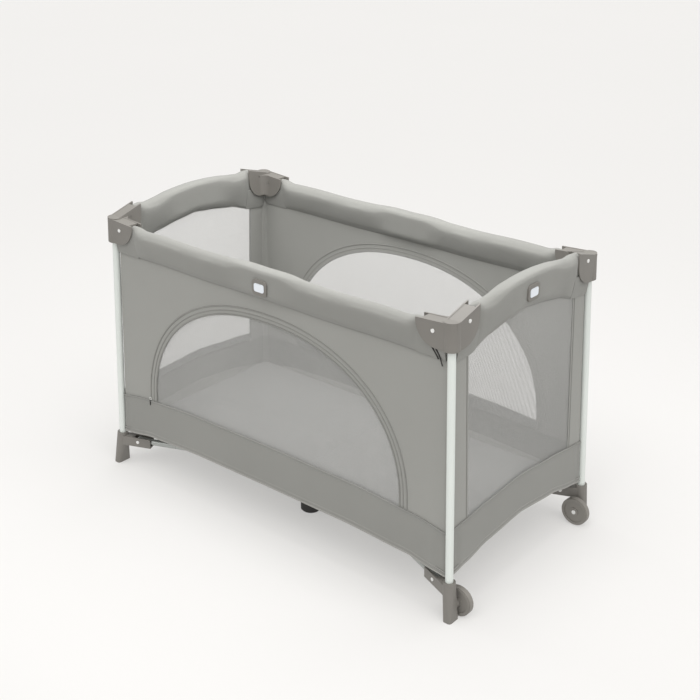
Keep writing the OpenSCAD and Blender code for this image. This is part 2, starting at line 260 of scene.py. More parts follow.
SILVER = srgb(212, 217, 213)
PLASTIC = srgb(118, 115, 110)
CLOTH = srgb(138, 138, 134)
WALL = srgb(146, 146, 142)

MATERIAL = {
    "post": painted_metal("painted_tube", SILVER, 0.36, 0.1),
    "rail": painted_metal("plain_tube", srgb(170, 173, 170), 0.32, 0.7),
    "plastic": plastic("grey_moulded", PLASTIC, 0.5),
    "wheel": plastic("wheel_moulded", scaled(PLASTIC, 1.2), 0.55, 0.0001),
    "rivet": plastic("rivet_white", srgb(222, 222, 220), 0.4),
    "button": plastic("button_white", srgb(222, 227, 233), 0.32, 0.00003, 0.02),
    "rubber": plastic("dark_rubber", srgb(48, 47, 46), 0.75, 0.0003, 0.15),
    "sleeve": cloth("padded_cloth", CLOTH, mottle=0.05, depth=0.0003),
    "band": cloth("band_cloth", scaled(CLOTH, 0.97), mottle=0.05),
    "wall": cloth("wall_cloth", scaled(WALL, 1.05), thread=0.0011, mottle=0.035),
    "binding": cloth("binding_cloth", scaled(CLOTH, 0.93), thread=0.0009, mottle=0.05),
    "hem": cloth("hem_cloth", srgb(150, 149, 145), thread=0.0009, mottle=0.04),
    "mat": cloth("mat_cloth", srgb(136, 136, 134), flat_weave=True, thread=0.0014, mottle=0.04,
                 ribs=0.009),
    "floor": cloth("floor_cloth", scaled(CLOTH, 0.8), flat_weave=True, mottle=0.06),
    "net": net("net_cloth", srgb(182, 182, 180)),
    "strap": cloth("strap_web", srgb(46, 45, 44), thread=0.0018, mottle=0.12),
}

# ---------------------------------------------------------------- mesh tools

def mesh_object(name, verts, faces, materials, face_material=None):
    mesh = bpy.data.meshes.new(name)
    mesh.from_pydata([tuple(v) for v in verts], [], faces)
    for m in materials:
        mesh.materials.append(MATERIAL[m])
    for i, polygon in enumerate(mesh.polygons):
        polygon.use_smooth = True
        if face_material:
            polygon.material_index = face_material[i]
    obj = bpy.data.objects.new(name, mesh)
    bpy.context.scene.collection.objects.link(obj)
    return obj


def bake(obj):
    """Applies every modifier."""
    depsgraph = bpy.context.evaluated_depsgraph_get()
    mesh = bpy.data.meshes.new_from_object(obj.evaluated_get(depsgraph))
    obj.modifiers.clear()
    obj.data = mesh
    return obj


def outward(obj):
    bm = bmesh.new()
    bm.from_mesh(obj.data)
    bmesh.ops.recalc_face_normals(bm, faces=bm.faces)
    bm.to_mesh(obj.data)
    bm.free()
    obj.data.set_sharp_from_angle(angle=math.radians(50))
    return obj


def grid(rows):
    """Vertices and faces of a grid of points."""
    columns = len(rows[0])
    verts = [p for row in rows for p in row]
    faces = []
    for i in range(len(rows) - 1):
        for j in range(columns - 1):
            a = i * columns + j
            faces.append((a, a + 1, a + columns + 1, a + columns))
    return verts, faces


def sheet_object(name, rows, material, thickness):
    verts, faces = grid(rows)
    obj = mesh_object(name, verts, faces, [material])
    solid = obj.modifiers.new("thick", "SOLIDIFY")
    solid.thickness = thickness
    solid.offset = 0.0
    return outward(bake(obj))


def tube(points, radius, sides=8, flat=1.0):
    """A tube along a path. flat narrows it across the path, for a tape."""
    verts, faces = [], []
    for i, p in enumerate(points):
        ahead = points[min(i + 1, len(points) - 1)] - points[max(i - 1, 0)]
        ahead.normalize()
        side = ahead.cross(Vector((0, 0, 1)))
        if side.length < 0.2:
            side = ahead.cross(Vector((0, 1, 0)))
        side.normalize()
        up = side.cross(ahead).normalized()
        for k in range(sides):
            a = 2 * math.pi * k / sides
            verts.append(p + side * (radius * flat * math.cos(a)) + up * (radius * math.sin(a)))
    for i in range(len(points) - 1):
        for k in range(sides):
            a, b = i * sides + k, i * sides + (k + 1) % sides
            faces.append((a, b, b + sides, a + sides))
    faces.append(tuple(range(sides))[::-1])
    faces.append(tuple(range(len(verts) - sides, len(verts))))
    return verts, faces


def join_parts(name, parts):
    """One object from several (vertices, faces, material) parts."""
    verts, faces, used, face_material = [], [], [], []
    for v, f, m in parts:
        if m not in used:
            used.append(m)
        faces += [tuple(i + len(verts) for i in face) for face in f]
        face_material += [used.index(m)] * len(f)
        verts += list(v)
    return outward(mesh_object(name, verts, faces, used, face_material))


def corner_body(right, back):
    return f"corner_{back}_{right}"


# ---------------------------------------------------------------- walls

WALL_INSET = 0.003
WRAP_R = 0.0135
TOP_Z = 0.700
ARCH = {"front": (0.444, 0.361), "back": (0.452, 0.374)}
ARCH_LOW = 0.261
ARCH_POWER = 2.2
RAY_Z = 0.225
BINDING_W = 0.024
NET_EDGE_Y = 0.236
LONG_BAND_TOP = [(0.0, 0.267), (0.30, 0.264), (0.50, 0.252), (0.60, 0.236)]
LONG_BAND_LOW = [(0.0, 0.148), (0.27, 0.147), (0.47, 0.138), (0.56, 0.123), (0.60, 0.118)]
END_BAND_TOP = [(0.0, 0.271), (0.15, 0.260), (0.25, 0.250), (0.30, 0.246)]
END_BAND_LOW = [(0.0, 0.165), (0.15, 0.152), (0.24, 0.134), (0.30, 0.124)]
END_SEAM = [(0.0, 0.727), (0.06, 0.7205), (0.15, 0.7065), (0.23, 0.682), (0.30, 0.676)]
LONG_SEAM_Z = 0.686
# how far each net bows inwards at its middle
LONG_NET_BOW = 0.006
END_NET_BOW = 0.007
# thickness of each kind of sheet
PANEL_T = 0.0012
STRIP_T = 0.0014
NET_T = 0.0004
BAND_T = 0.003


def straight_end(z, along):
    """How far the straight part of a wall runs from its middle, up to the cloth round the post."""
    x, y = post_at(z)
    return (x if along == "x" else y) - math.sqrt(WRAP_R**2 - WALL_INSET**2)


ARC_FROM = math.asin(WALL_INSET / WRAP_R)
ARC_SPAN = math.pi / 4 - ARC_FROM
ARC_LEN = WRAP_R * ARC_SPAN


def wall_point(along, s, z, out=0.0):
    """A point on a wall in the back right quarter: s from its middle, at height z."""
    x, y = post_at(z)
    reach = straight_end(z, along)
    if s <= reach:
        u, v = s, (y if along == "x" else x) - WALL_INSET + out
    else:
        a = ARC_FROM + min((s - reach) / WRAP_R, ARC_SPAN)
        r = WRAP_R - out
        u = (x if along == "x" else y) - r * math.cos(a)
        v = (y if along == "x" else x) - r * math.sin(a)
    return Vector((u, v, z)) if along == "x" else Vector((v, u, z))


def mirrored(points, sx, sy):
    return [Vector((p.x * sx, p.y * sy, p.z)) for p in points]


def edge_at(z, along):
    return straight_end(z, along) + ARC_LEN


def arch_point(depth, angle, grow=0.0):
    half, rise = ARCH[depth]
    c, s = max(math.cos(angle), 0.0), max(math.sin(angle), 0.0)
    return (half + grow) * s ** (2 / ARCH_POWER), ARCH_LOW + (rise + grow) * c ** (2 / ARCH_POWER)


def end_top(s):
    return curve_through(END_SEAM, abs(s)) + 0.012


def panel_rows(depth):
    """Rows of cloth from the arch out to the post and the top seam."""
    rows = []
    half = ARCH[depth][0]
    steps = 44
    inner, outer = [], []
    for i in range(4):
        z = RAY_Z + (ARCH_LOW - RAY_Z) * i / 4
        inner.append((half, z))
    for i in range(steps + 1):
        inner.append(arch_point(depth, math.pi / 2 * (1 - i / steps)))
    corner_s, corner_z = edge_at(TOP_Z, "x"), TOP_Z
    corner_slope = math.atan2(corner_z - RAY_Z, corner_s)
    slopes = [math.atan2(z - RAY_Z, s) for s, z in inner]
    nearest = min(range(len(slopes)), key=lambda i: abs(slopes[i] - corner_slope))
    for i, slope in enumerate(slopes):
        if i == nearest:
            outer.append((corner_s, corner_z))
        elif slope < corner_slope:
            z = RAY_Z
            for _ in range(30):
                z = RAY_Z + math.tan(slope) * edge_at(z, "x")
            outer.append((edge_at(z, "x"), z))
        elif slope < math.pi / 2 - 1e-6:
            outer.append(((TOP_Z - RAY_Z) / math.tan(slope), TOP_Z))
        else:
            outer.append((0.0, TOP_Z))
    outer[-1] = (0.0, TOP_Z)
    for (s0, z0), (s1, z1) in zip(inner, outer):
        row = []
        for k in range(31):
            t = k / 30
            t = t + 0.12 * math.sin(2 * math.pi * t) / (2 * math.pi)
            s, z = s0 + (s1 - s0) * t, z0 + (z1 - z0) * t
            belly = 0.002 * math.sin(math.pi * t) * (0.5 + noise.noise(Vector((s * 3, z * 4, 2.0))))
            row.append(wall_point("x", s, z, belly))
        rows.append(row)
    return rows


def net_bow(s, half, z, low, high, amount):
    across = max(0.0, 1 - (s / half) ** 2)
    up = max(0.0, math.sin(math.pi * min(max((z - low) / (high - low), 0), 1)))
    return -amount * across * up


def long_net_rows(depth):
    rows = []
    half, rise = ARCH[depth]
    low, high = ARCH_LOW - 0.03, ARCH_LOW + rise
    for i in range(41):
        angle = math.pi / 2 * (1 - i / 40)
        s_edge, z_edge = arch_point(depth, angle, 0.004)
        column = []
        for k in range(21):
            z = low + (z_edge - low) * k / 20
            bow = net_bow(s_edge, half + 0.005, z, low, high, LONG_NET_BOW)
            column.append(wall_point("x", s_edge, z, -0.0015 + bow))
        rows.append(column)
    return rows


def end_net_rows():
    rows = []
    for i in range(41):
        s = NET_EDGE_Y * (1 - i / 40)
        low, high = curve_through(END_BAND_TOP, s) - 0.02, end_top(s)
        column = []
        for k in range(25):
            z = low + (high - low) * k / 24
            bow = net_bow(s, NET_EDGE_Y + 0.01, z, low, high, END_NET_BOW)
            column.append(wall_point("y", s, z, -0.001 + bow))
        rows.append(column)
    return rows


def strip_rows():
    """The strip of cloth between an end net and its post."""
    rows = []
    for i in range(45):
        t = i / 44
        row = []
        for k in range(9):
            s_in = NET_EDGE_Y - 0.006
            z = RAY_Z + (end_top(NET_EDGE_Y + 0.02) - RAY_Z) * t
            s = s_in + (edge_at(z, "y") - s_in) * k / 8
            row.append(wall_point("y", s, z, 0.0005))
        rows.append(row)
    return rows


def band_rows(along):
    top, low = (LONG_BAND_TOP, LONG_BAND_LOW) if along == "x" else (END_BAND_TOP, END_BAND_LOW)
    count = 60 if along == "x" else 34
    rows = []
    for i in range(count + 1):
        s_mid = edge_at(0.2, along) * i / count
        row = []
        for k in range(17):
            t = k / 16
            z = curve_through(low, s_mid) + (curve_through(top, s_mid) - curve_through(low, s_mid)) * t
            s = s_mid * edge_at(z, along) / edge_at(0.2, along)
            ripple = 0.0012 * noise.noise(Vector((s * 6, z * 14, 5.0 if along == "x" else 8.0)))
            out = 0.003 + 0.0025 * math.sin(math.pi * t) ** 0.7 + ripple * math.sin(math.pi * t)
            if s_mid > edge_at(0.2, along) - 0.03:
                out = 0.002
            row.append(wall_point(along, s, z, out))
        rows.append(row)
    return rows


def band_edge(along, which, out, rise=0.0, count=70):
    line = {
        ("x", "top"): LONG_BAND_TOP, ("x", "low"): LONG_BAND_LOW,
        ("y", "top"): END_BAND_TOP, ("y", "low"): END_BAND_LOW,
    }[(along, which)]
    points = []
    for i in range(count + 1):
        s_mid = edge_at(0.2, along) * i / count
        z = curve_through(line, s_mid) + rise
        s = s_mid * edge_at(z, along) / edge_at(0.2, along)
        points.append(wall_point(along, s, z, out))
    return points


def arch_line(depth, grow, out):
    points = []
    half = ARCH[depth][0]
    for i in range(3):
        points.append(wall_point("x", half + grow, ARCH_LOW - 0.012 + 0.012 * i / 3, out))
    for i in range(57):
        s, z = arch_point(depth, math.pi / 2 * (1 - i / 56), grow)
        points.append(wall_point("x", s, z, out))
    return points


def flatten(obj, along):
    """Gives a wall half its own copy of its mesh."""
    if along == "x":
        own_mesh(obj)
    else:
        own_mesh(obj)


def wall_name(along, right, back):
    return f"{back}_{right}" if along == "x" else f"{right}_{back}"


def place(obj, right, back, along):
    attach(obj, corner_body(right, back))
    flatten(obj, along)
    return obj


def mirrored_rows(rows, sx, sy):
    return [mirrored(row, sx, sy) for row in rows]


def trim_piece(name, lines, sx, sy):
    """Bindings and hems: one tube along each (points, radius, material) line."""
    parts = []
    for points, radius, material in lines:
        verts, faces = tube(mirrored(points, sx, sy), radius)
        parts.append((verts, faces, material))
    return join_parts(name, parts)


def band_lines(along):
    return [
        (band_edge(along, "top", 0.0035), 0.0028, "binding"),
        (band_edge(along, "low", 0.0030), 0.0032, "hem"),
        (band_edge(along, "low", 0.0052, 0.012), 0.0012, "hem"),
    ]


def add_long_wall(right, sx, back, sy):
    tag = wall_name("x", right, back)
    panel = sheet_object(f"panel_{tag}", mirrored_rows(panel_rows(back), sx, sy), "wall", PANEL_T)
    netting = sheet_object(f"net_{tag}", mirrored_rows(long_net_rows(back), sx, sy), "net", NET_T)
    band = sheet_object(f"band_{tag}", mirrored_rows(band_rows("x"), sx, sy), "band", BAND_T)
    bindings = [
        (arch_line(back, 0.001, 0.0012), 0.0022, "binding"),
        (arch_line(back, 0.012, 0.0008), 0.0016, "binding"),
        (arch_line(back, BINDING_W, 0.0012), 0.0022, "binding"),
    ]
    trim = trim_piece(f"trim_{tag}", bindings + band_lines("x"), sx, sy)
    for obj in (panel, netting, band, trim):
        place(obj, right, back, "x")
    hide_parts(f"wall_{back}")


def add_end_wall(right, sx, back, sy):
    tag = wall_name("y", right, back)
    strip = sheet_object(f"panel_{tag}", mirrored_rows(strip_rows(), sx, sy), "wall", STRIP_T)
    netting = sheet_object(f"net_{tag}", mirrored_rows(end_net_rows(), sx, sy), "net", NET_T)
    band = sheet_object(f"band_{tag}", mirrored_rows(band_rows("y"), sx, sy), "band", BAND_T)
    edge = [wall_point("y", NET_EDGE_Y, 0.235 + 0.45 * i / 30, 0.0012) for i in range(31)]
    trim = trim_piece(f"trim_{tag}", [(edge, 0.0018, "binding")] + band_lines("y"), sx, sy)
    for obj in (strip, netting, band, trim):
        place(obj, right, back, "y")
    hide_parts(f"wall_{right}")


def add_walls():
    for right, sx in SIDES:
        for back, sy in DEPTHS:
            add_long_wall(right, sx, back, sy)
            add_end_wall(right, sx, back, sy)


# ---------------------------------------------------------------- padded sleeves

SLEEVE_A = 0.0205
SLEEVE_SEAM_T = 0.0045
NECK_T = 0.0145
# the rail pins' distance inboard of a cap's centre, and the reach of a cap's two arms
PIN_IN = 0.040
CAP_LONG_END = 0.0915
CAP_END_END = 0.0815
LONG_SLEEVE_END = LONG_PIN.x + PIN_IN - CAP_LONG_END
END_SLEEVE_END = END_PIN.y + PIN_IN - CAP_END_END
# half lengths of the latch housings
LONG_LATCH_HALF = 0.036
END_LATCH_HALF = 0.056
PIPING_R = 0.0026


def section(top_z, roll_r, half_t, seam_z, boxy, count=44):
    """A sleeve's section as (sideways, height) points: a round top, and sides that close on a seam.
    boxy is 1 over a latch, where the sides stay apart for longer, and 0 elsewhere."""
    centre = top_z - roll_r
    points = []
    arc_count = count // 2
    power = 2 / (2 + 2.2 * boxy)
    for i in range(arc_count + 1):
        a = math.pi * i / arc_count
        c, up = math.cos(a), max(math.sin(a), 0.0)
        points.append((half_t * math.copysign(abs(c) ** power, c), centre + roll_r * up**power))
    side_count = count // 2
    sides = []
    for i in range(1, side_count):
        w = i / side_count
        z = centre + (seam_z - centre) * w
        tear = SLEEVE_SEAM_T + (half_t - SLEEVE_SEAM_T) * (1 - w**1.55)
        box = half_t
        if w >= 0.62:
            box = SLEEVE_SEAM_T + (half_t - SLEEVE_SEAM_T) * (1 - ((w - 0.62) / 0.38) ** 2.2)
        sides.append((tear + (box - tear) * boxy, z))
    points += [(-t, z) for t, z in sides]
    points.append((0.0, seam_z - 0.001))
    points += [(t, z) for t, z in reversed(sides)]
    return points


def sleeve_object(name, length, top, seam, latch_half, lift, low_noise):
    """A whole padded sleeve along X, from -length to length, about y = 0."""
    verts, faces = [], []
    count = 44
    places = []
    steps = int(2 * length / 0.006)
    for i in range(steps + 1):
        places.append((-length + 2 * length * i / steps, 1.0))
    neck = [(0.004, 1.0), (0.009, 1.0), (0.0125, 0.995), (0.0145, 0.975), (0.0155, 0.93)]
    places = [(-length - d, k) for d, k in reversed(neck)] + places + [(length + d, k) for d, k in neck]
    for s, shrink in places:
        boxy = 1 - ramp(abs(s), latch_half + 0.012, latch_half + 0.10)
        near_cap = ramp(abs(s), length - 0.014, length)
        top_z, seam_z = top(s) + lift * ramp(abs(s), length - 0.035, length), seam(s)
        half_t = SLEEVE_A + (NECK_T - SLEEVE_A) * near_cap
        points = section(top_z, 0.0205, half_t, seam_z, boxy, count)
        mid_z = top_z - 0.04
        for t, z in points:
            wave = noise.noise(Vector((s * 9, z * 11, low_noise))) * 0.0022 * (1 - boxy)
            wave += noise.noise(Vector((s * 24, z * 20, low_noise + 4))) * 0.0009 * (1 - 0.6 * boxy)
            push = 1 + wave * (1 - near_cap) / SLEEVE_A
            high = shrink if z > mid_z else min(1.0, 0.3 + 0.7 * shrink)
            verts.append(Vector((s, t * shrink * push, mid_z + (z - mid_z) * high)))
    total = len(section(0.77, 0.02, 0.02, 0.686, 0.0, count))
    for i in range(len(places) - 1):
        for k in range(total):
            a, b = i * total + k, i * total + (k + 1) % total
            faces.append((a, b, b + total, a + total))
    faces.append(tuple(range(total))[::-1])
    faces.append(tuple(range(len(verts) - total, len(verts))))
    return outward(mesh_object(name, verts, faces, ["sleeve"]))


# how far a simulated pad may sink below its drawn shape, and the size of its mesh's cells
SINK = 0.0006
SLEEVE_VOXEL = 0.005
MAT_VOXEL = 0.006


def evened(obj, values, rounds):
    """Each point's value averaged with its neighbours' again and again."""
    edges = [tuple(e.vertices) for e in obj.data.edges]
    counts = [1] * len(values)
    for a, b in edges:
        counts[a] += 1
        counts[b] += 1
    for _ in range(rounds):
        total = list(values)
        for a, b in edges:
            total[a] += values[b]
            total[b] += values[a]
        values = [t / c for t, c in zip(total, counts)]
    return values


def soften(obj, voxel, cap_at, frames=20, pressure=4.0):
    """Swells a padded piece with a short cloth simulation. cap_at(point) is how far a point may move."""
    scene = bpy.context.scene
    remesh = obj.modifiers.new("remesh", "REMESH")
    remesh.mode = "VOXEL"
    remesh.voxel_size = voxel
    bake(obj)
    before = [(v.co.copy(), v.normal.copy()) for v in obj.data.vertices]
    modifier = obj.modifiers.new("cloth", "CLOTH")
    settings = modifier.settings
    settings.quality = 5
    settings.mass = 0.3
    settings.tension_stiffness = 12
    settings.compression_stiffness = 12
    settings.bending_stiffness = 0.4
    settings.use_pressure = True
    settings.uniform_pressure_force = pressure
    settings.effector_weights.gravity = 0
    modifier.collision_settings.use_collision = False
    modifier.point_cache.frame_start = 1
    modifier.point_cache.frame_end = frames
    for f in range(1, frames + 1):
        scene.frame_set(f)
    bake(obj)
    scene.frame_set(1)
    swell = [(v.co - rest).dot(normal) for v, (rest, normal) in zip(obj.data.vertices, before)]
    swell = [min(max(out, -0.006), 0.006) for out in swell]
    swell = evened(obj, swell, 14)
    for v, (rest, normal), out in zip(obj.data.vertices, before, swell):
        most = cap_at(rest) if out > 0 else SINK
        v.co = rest + normal * most * math.tanh(out / 0.004)
    rounder = obj.modifiers.new("subdivide", "SUBSURF")
    rounder.levels = 1
    rounder.render_levels = 1
    bake(obj)
    for polygon in obj.data.polygons:
        polygon.use_smooth = True
    return obj


def half_of(obj, name, keep_positive):
    """A copy of one half of a mesh, cut at x = 0."""
    mesh = obj.data.copy()
    bm = bmesh.new()
    bm.from_mesh(mesh)
    everything = bm.verts[:] + bm.edges[:] + bm.faces[:]
    bmesh.ops.bisect_plane(bm, geom=everything, plane_co=(0, 0, 0), plane_no=(1, 0, 0), dist=1e-6,
                           clear_inner=keep_positive, clear_outer=not keep_positive)
    bm.to_mesh(mesh)
    bm.free()
    piece = bpy.data.objects.new(name, mesh)
    bpy.context.scene.collection.objects.link(piece)
    return piece


def long_top_z(s):
    return 0.7705 + 0.0012 * math.sin(s * 21) + 0.0012 * (1 - ramp(abs(s), 0.05, 0.15))


def long_seam_z(s):
    return LONG_SEAM_Z + 0.0012 * math.sin(s * 17 + 1)


def end_top_z(s):
    return 0.8185 - 0.0175 * min(abs(s) / 0.2, 1.1) ** 1.7


def end_seam_z(s):
    return curve_through(END_SEAM, abs(s))


def latch_cap(latch_half, length, most):
    def cap_at(point):
        away = ramp(abs(point.x), latch_half + 0.02, latch_half + 0.11)
        end = 1 - 0.75 * ramp(abs(point.x), length - 0.05, length)
        return most * (0.08 + 0.92 * away) * end
    return cap_at


def add_seams(obj, points, radius):
    """Adds a line of piping to a sleeve."""
    verts, faces = tube(points, radius)
    bm = bmesh.new()
    bm.from_mesh(obj.data)
    obj.data.materials.append(MATERIAL["binding"])
    index = len(obj.data.materials) - 1
    made = [bm.verts.new(v) for v in verts]
    for face in faces:
        f = bm.faces.new([made[i] for i in face])
        f.material_index = index
        f.smooth = True
    bm.to_mesh(obj.data)
    bm.free()


def seam_line(length, seam_z, count):
    return [Vector((length * i / count, 0, seam_z(length * i / count) + 0.001)) for i in range(count + 1)]


def add_sleeves():
    long_len, end_len = LONG_SLEEVE_END, END_SLEEVE_END
    long_whole = sleeve_object("sleeve_long", long_len, long_top_z, long_seam_z, LONG_LATCH_HALF, 0.0075, 3.0)
    soften(long_whole, SLEEVE_VOXEL, latch_cap(LONG_LATCH_HALF, long_len, 0.0028))
    end_whole = sleeve_object("sleeve_end", end_len, end_top_z, end_seam_z, END_LATCH_HALF, 0.0085, 9.0)
    soften(end_whole, SLEEVE_VOXEL, latch_cap(END_LATCH_HALF, end_len, 0.0024))
    for back, sy in DEPTHS:
        for right, sx in SIDES:
            piece = half_of(long_whole, f"sleeve_{back}_{right}", True)
            add_seams(piece, seam_line(long_len, long_seam_z, 60), PIPING_R)
            for v in piece.data.vertices:
                v.co = Vector((v.co.x * sx, LONG_Y * sy + v.co.y * sy, v.co.z))
            if sx * sy < 0:
                piece.data.flip_normals()
            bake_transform(piece)
            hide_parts(f"pad_{back}_{right}")
    for right, sx in SIDES:
        for back, sy in DEPTHS:
            piece = half_of(end_whole, f"sleeve_{right}_{back}", True)
            add_seams(piece, seam_line(end_len, end_seam_z, 40), PIPING_R)
            for v in piece.data.vertices:
                v.co = Vector((END_X * sx + v.co.y * sx, v.co.x * sy, v.co.z))
            if sx * sy > 0:
                piece.data.flip_normals()
            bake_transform(piece)
            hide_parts(f"pad_{right}_{back}")
    bpy.data.objects.remove(long_whole)
    bpy.data.objects.remove(end_whole)


# ---------------------------------------------------------------- cloth under the corner caps

# how far a gusset laps over its sleeve, and stops short of its post's centre
GUSSET_LAP = 0.006
GUSSET_SHORT = 0.012
GUSSET_TOP_Z = 0.745


def gusset_section(z_low, z_high, thick, count=12):
    right = []
    for i in range(count + 1):
        w = 1 - i / count
        half_t = SLEEVE_SEAM_T + (thick - SLEEVE_SEAM_T) * (1 - w**1.55)
        right.append((half_t, z_low + (z_high - z_low) * i / count))
    return right + [(-t, z) for t, z in reversed(right)]


def gusset(along):
    """The cloth of the sleeves that runs under a cap to the post, in the back right quarter."""
    verts, faces = [], []
    if along == "x":
        first, last, centre = LONG_SLEEVE_END - GUSSET_LAP, END_X - GUSSET_SHORT, LONG_Y
    else:
        first, last, centre = END_SLEEVE_END - GUSSET_LAP, LONG_Y - GUSSET_SHORT, END_X
    total = 0
    for i in range(13):
        s = first + (last - first) * i / 12
        low = LONG_SEAM_Z if along == "x" else curve_through(END_SEAM, s)
        points = gusset_section(low, GUSSET_TOP_Z, NECK_T)
        total = len(points)
        for t, z in points:
            verts.append(Vector((s, centre + t, z)) if along == "x" else Vector((centre + t, s, z)))
    for i in range(12):
        for k in range(total):
            a, b = i * total + k, i * total + (k + 1) % total
            faces.append((a, b, b + total, a + total))
    faces.append(tuple(range(total))[::-1])
    faces.append(tuple(range(len(verts) - total, len(verts))))
    line = []
    for i in range(13):
        s = first + (last - first) * i / 12
        low = (LONG_SEAM_Z if along == "x" else curve_through(END_SEAM, s)) + 0.001
        line.append(Vector((s, centre, low)) if along == "x" else Vector((centre, s, low)))
    return verts, faces, line


def add_gussets():
    for right, sx in SIDES:
        for back, sy in DEPTHS:
            for along in ("x", "y"):
                verts, faces, line = gusset(along)
                piping, piping_faces = tube(mirrored(line, sx, sy), 0.0030)
                piece = join_parts(f"gusset_{wall_name(along, right, back)}", [
                    (mirrored(verts, sx, sy), faces, "sleeve"),
                    (piping, piping_faces, "binding"),
                ])
                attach(piece, corner_body(right, back))


# three (x, z) points on each strap in the back right quarter, and the zip pull's place on the wall
STRAPS = [
    ((0.529, 0.724), (0.537, 0.706), (0.549, 0.686)),
    ((0.540, 0.720), (0.551, 0.700), (0.561, 0.672)),
]
ZIP_AT = (0.4685, 0.262)


def add_straps():
    """Dark closing straps that come out under two of the caps."""
    for right, back in (("right", "front"), ("left", "back")):
        sx = 1 if right == "right" else -1
        sy = 1 if back == "back" else -1
        parts = []
        for line in STRAPS:
            points = []
            for i in range(13):
                t = i / 12
                a, b, c = line
                x = (1 - t) ** 2 * a[0] + 2 * t * (1 - t) * b[0] + t * t * c[0]
                z = (1 - t) ** 2 * a[1] + 2 * t * (1 - t) * b[1] + t * t * c[1]
                out = NECK_T * (0.95 - 0.5 * ramp(z, 0.730, 0.690)) + 0.0008
                points.append(Vector((x, LONG_Y + out, z)))
            verts, faces = tube(mirrored(points, sx, sy), 0.0019, 8, 0.6)
            parts.append((verts, faces, "strap"))
        piece = join_parts(f"strap_{back}_{right}", parts)
        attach(piece, corner_body(right, back))


def add_zip_pull():
    s, z = ZIP_AT
    ring = [wall_point("x", s + 0.004 * math.cos(a), z + 0.004 * math.sin(a), 0.0045)
            for a in [math.pi * k / 8 for k in range(17)]]
    tab = [wall_point("x", s, z - 0.004 - 0.016 * k / 6, 0.0055) for k in range(7)]
    parts = []
    for line, radius, material in ((ring, 0.0009, "rivet"), (tab, 0.0028, "strap")):
        verts, faces = tube(mirrored(line, -1, -1), radius, 8, 0.45)
        parts.append((verts, faces, material))
    place(join_parts("zip_pull", parts), "left", "front", "x")


# ---------------------------------------------------------------- floor and mat


def flatten_floor(obj, right, back):
    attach(obj, f"base_{back}_{right}")
    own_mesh(obj)


def floor_edge(along, s):
    return curve_through(LONG_BAND_LOW if along == "x" else END_BAND_LOW, s) + 0.004


def floor_rows():
    rows = []
    flat_z = (floor_lo.z + floor_hi.z) / 2
    for i in range(41):
        row = []
        for j in range(25):
            x_edge = post_at(0.14)[0] - 0.004
            y_edge = post_at(0.14)[1] - 0.004
            x = x_edge * (i / 40) ** 0.85
            y = y_edge * (j / 24) ** 0.85
            near_x = ramp(x, x_edge - 0.045, x_edge)
            near_y = ramp(y, y_edge - 0.045, y_edge)
            z = flat_z + (floor_edge("y", y) - flat_z) * near_x
            z = max(z, flat_z + (floor_edge("x", x) - flat_z) * near_y)
            if x > x_edge - 0.03 and y > y_edge - 0.03:
                corner = max(x - x_edge + 0.03, 0) + max(y - y_edge + 0.03, 0)
                x -= corner * 0.25
                y -= corner * 0.25
            row.append(Vector((x, y, z)))
        rows.append(row)
    return rows


def mat_object(name):
    """One quarter of the mat, as a slightly smaller closed pad before it swells."""
    edge = 0.006
    x1, y1 = mat_hi.x - 0.012, mat_hi.y - 0.014
    x0, y0 = -0.018, -0.018
    top, low = mat_hi.z - 0.004, mat_lo.z + 0.006
    verts, faces = [], []
    profile = [
        (edge, low), (0.002, low + 0.003), (0.0, (low + top) / 2), (0.002, top - 0.003), (edge, top)
    ]

    def ring(inset, z, radius=0.022, steps=6):
        points = []
        for cx, cy, a0 in ((x1, y1, 0), (x0, y1, 90), (x0, y0, 180), (x1, y0, 270)):
            r = radius if (cx == x1 and cy == y1) else 0.002
            r = max(r - inset * 0.5, 0.001)
            in_x = inset * (1.0 if cx == x1 else 0.3)
            in_y = inset * (1.0 if cy == y1 else 0.3)
            ox = cx - math.copysign(in_x + r, cx - (x0 + x1) / 2)
            oy = cy - math.copysign(in_y + r, cy - (y0 + y1) / 2)
            for k in range(steps + 1):
                a = math.radians(a0 + 90 * k / steps)
                points.append(Vector((ox + r * math.cos(a), oy + r * math.sin(a), z)))
        return points

    rings = [ring(inset, z) for inset, z in profile]
    total = len(rings[0])
    for r in rings:
        verts += r
    for i in range(len(rings) - 1):
        for k in range(total):
            a, b = i * total + k, i * total + (k + 1) % total
            faces.append((a, b, b + total, a + total))
    faces.append(tuple(range(total))[::-1])
    faces.append(tuple(range(len(verts) - total, len(verts))))
    return outward(mesh_object(name, verts, faces, ["mat"]))


def cut_flat(obj, gap):
    """Trims the pad to its quarter with flat closed sides, so that four of them meet."""
    bm = bmesh.new()
    bm.from_mesh(obj.data)
    for normal in ((1, 0, 0), (0, 1, 0)):
        everything = bm.verts[:] + bm.edges[:] + bm.faces[:]
        made = bmesh.ops.bisect_plane(bm, geom=everything, plane_co=Vector(normal) * gap, plane_no=normal,
                                      dist=1e-6, clear_inner=True)
        rim = [g for g in made["geom_cut"] if isinstance(g, bmesh.types.BMEdge)]
        bmesh.ops.triangle_fill(bm, use_beauty=True, edges=rim)
    bmesh.ops.recalc_face_normals(bm, faces=bm.faces)
    bm.to_mesh(obj.data)
    bm.free()
    obj.data.set_sharp_from_angle(angle=math.radians(50))


